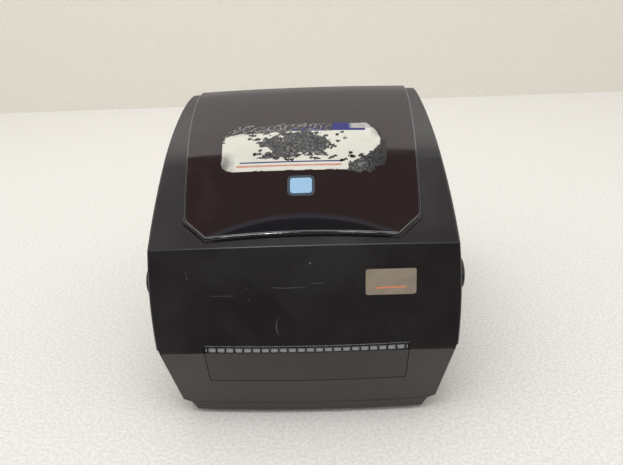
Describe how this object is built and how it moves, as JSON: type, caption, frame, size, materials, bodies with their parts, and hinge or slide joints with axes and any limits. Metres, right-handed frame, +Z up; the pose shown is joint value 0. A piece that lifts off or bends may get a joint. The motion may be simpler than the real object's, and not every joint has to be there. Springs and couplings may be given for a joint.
{
  "type": "desktop label printer",
  "caption": "Desktop thermal label printer: black casing with a hinged, windowed lid, feed button, label mouth with tear blade, roll holders, platen, ribbon spindles and rear sockets.",
  "frame": {"origin": "under the middle of the printer, on the surface its feet stand on", "axes": "+Z up, -Y out of the front with the label mouth, +X to the right of someone facing the front"},
  "size_m": [0.202, 0.254, 0.1913],
  "materials": {
    "casing_black": "fine textured black moulding, worn",
    "window_smoke": "dark smoked gloss window",
    "button_blue": "light blue translucent button",
    "bezel_grey": "grey-blue ring",
    "plate_silver": "brushed silver foil",
    "black_parts": "plain black moulding",
    "strip_grey": "grey strip between the ribs",
    "rubber": "soft black rubber",
    "sheet_steel": "zinc plated sheet",
    "bright_steel": "bright steel",
    "motor_metal": "dark motor can",
    "gear_white": "natural acetal",
    "brass": "machined brass",
    "head_ceramic": "glazed ceramic strip",
    "sink_aluminium": "extruded aluminium",
    "board_green": "coated circuit board",
    "chip_black": "moulded chips and cans"
  },
  "bodies": {
    "base": {"base_shell": "casing_black", "bottom_plate": "casing_black", "feet": "rubber", "base_screws": "bright_steel", "front_bezel": "casing_black", "exit_strip": "strip_grey", "side_frame_left": "sheet_steel", "side_frame_right": "sheet_steel", "catch_pins": "bright_steel", "platen_bushes": "gear_white", "idler_stud": "bright_steel", "drive_motor": "motor_metal", "sensor_rail": "bright_steel", "media_deck": "black_parts", "main_board": "board_green", "board_components": "chip_black", "rear_panel": "sheet_steel", "serial_socket": "black_parts", "usb_socket": "bright_steel", "power_inlet": "black_parts", "switch_housing": "black_parts", "hinge_pins": "bright_steel"},
    "lid": {"lid_shell": "casing_black", "lid_window": "window_smoke", "button_bezel": "bezel_grey", "button_board": "board_green", "name_plate": "plate_silver", "tear_blade": "bright_steel", "ribbon_cheek_left": "sheet_steel", "ribbon_cheek_right": "sheet_steel", "chassis_screws": "bright_steel", "head_crossbar": "sheet_steel", "chassis_rods": "bright_steel", "ribbon_motor": "motor_metal", "ribbon_motor_bracket": "sheet_steel", "head_springs": "bright_steel"},
    "latch": {"latch_shaft": "bright_steel", "latch_hooks": "black_parts", "latch_pads": "black_parts"},
    "feed_button": {"feed_button": "button_blue"},
    "power_rocker": {"power_rocker": "black_parts"},
    "platen": {"platen_shaft": "bright_steel", "platen_roller": "rubber", "platen_gear": "gear_white"},
    "idler": {"idler_gear": "gear_white"},
    "motor_pinion": {"motor_pinion": "brass"},
    "holder_right": {"roll_holder_right": "black_parts"},
    "holder_left": {"roll_holder_left": "black_parts"},
    "holder_pinion": {"holder_pinion": "gear_white"},
    "guide_right": {"label_guide_right": "black_parts"},
    "guide_left": {"label_guide_left": "black_parts"},
    "guide_pinion": {"guide_pinion": "gear_white"},
    "gap_sensor": {"gap_sensor": "black_parts"},
    "supply_spindle": {"supply_spindle": "gear_white"},
    "take_up": {"take_up_spindle": "gear_white", "take_up_gear": "gear_white"},
    "ribbon_pinion": {"ribbon_pinion": "brass"},
    "head": {"print_head": "head_ceramic", "head_sink": "sink_aluminium", "head_bracket": "sheet_steel"}
  },
  "joints": [
    {"name": "lid_hinge", "type": "hinge", "parent": "base", "child": "lid", "pos_m": [0, 0.11902, 0.062], "axis": [-1, 0, 0], "range_deg": [0, 80]},
    {"name": "latch_release", "type": "hinge", "parent": "lid", "child": "latch", "pos_m": [0, -0.098, 0.088], "axis": [-1, 0, 0], "range_deg": [0, 12], "stiffness_Nm_per_rad": 0.08, "springref_deg": -11.46},
    {"name": "feed_button_press", "type": "slide", "parent": "lid", "child": "feed_button", "axis": [0, 0.7484, -0.6633], "range_m": [0, 0.001], "stiffness_N_per_m": 200, "springref_m": -0.002},
    {"name": "power_switch", "type": "hinge", "parent": "base", "child": "power_rocker", "pos_m": [0.052, 0.11852, 0.02975], "axis": [-1, 0, 0], "range_deg": [0, 16]},
    {"name": "platen_spin", "type": "hinge", "parent": "base", "child": "platen", "pos_m": [0, -0.106, 0.0425], "axis": [1, 0, 0], "continuous": true},
    {"name": "idler_spin", "type": "hinge", "parent": "base", "child": "idler", "pos_m": [0, -0.09007, 0.0333], "axis": [1, 0, 0], "continuous": true},
    {"name": "motor_spin", "type": "hinge", "parent": "base", "child": "motor_pinion", "pos_m": [0, -0.06788, 0.03018], "axis": [1, 0, 0], "continuous": true},
    {"name": "holder_right_slide", "type": "slide", "parent": "base", "child": "holder_right", "axis": [-1, 0, 0], "range_m": [0, 0.03]},
    {"name": "holder_left_slide", "type": "slide", "parent": "base", "child": "holder_left", "axis": [1, 0, 0], "range_m": [0, 0.03]},
    {"name": "holder_pinion_spin", "type": "hinge", "parent": "base", "child": "holder_pinion", "pos_m": [0, 0.054, 0], "axis": [0, 0, 1], "range_deg": [0, 216]},
    {"name": "guide_right_slide", "type": "slide", "parent": "base", "child": "guide_right", "axis": [-1, 0, 0], "range_m": [0, 0.032]},
    {"name": "guide_left_slide", "type": "slide", "parent": "base", "child": "guide_left", "axis": [1, 0, 0], "range_m": [0, 0.032]},
    {"name": "guide_pinion_spin", "type": "hinge", "parent": "base", "child": "guide_pinion", "pos_m": [0, -0.032, 0], "axis": [0, 0, 1], "range_deg": [0, 307]},
    {"name": "gap_sensor_slide", "type": "slide", "parent": "base", "child": "gap_sensor", "axis": [1, 0, 0], "range_m": [-0.03, 0.03]},
    {"name": "supply_spin", "type": "hinge", "parent": "lid", "child": "supply_spindle", "pos_m": [0, -0.02, 0.14], "axis": [1, 0, 0], "continuous": true},
    {"name": "take_up_spin", "type": "hinge", "parent": "lid", "child": "take_up", "pos_m": [0, -0.072, 0.112], "axis": [1, 0, 0], "continuous": true},
    {"name": "ribbon_pinion_spin", "type": "hinge", "parent": "lid", "child": "ribbon_pinion", "pos_m": [0, -0.05966, 0.12671], "axis": [1, 0, 0], "continuous": true},
    {"name": "head_tilt", "type": "hinge", "parent": "lid", "child": "head", "pos_m": [0, -0.078, 0.066], "axis": [-1, 0, 0], "range_deg": [0, 3], "stiffness_Nm_per_rad": 1, "springref_deg": -5.73, "deforming": ["head_springs"]}
  ],
  "couplings": [
    {"joint": "idler_spin", "follows": "platen_spin", "ratio": -1.875},
    {"joint": "motor_spin", "follows": "platen_spin", "ratio": 5.625},
    {"joint": "holder_left_slide", "follows": "holder_right_slide", "ratio": 1},
    {"joint": "holder_pinion_spin", "follows": "holder_right_slide", "rad_per_m": 125},
    {"joint": "guide_left_slide", "follows": "guide_right_slide", "ratio": 1},
    {"joint": "guide_pinion_spin", "follows": "guide_right_slide", "rad_per_m": 166.67},
    {"joint": "ribbon_pinion_spin", "follows": "take_up_spin", "ratio": -3}
  ]
}
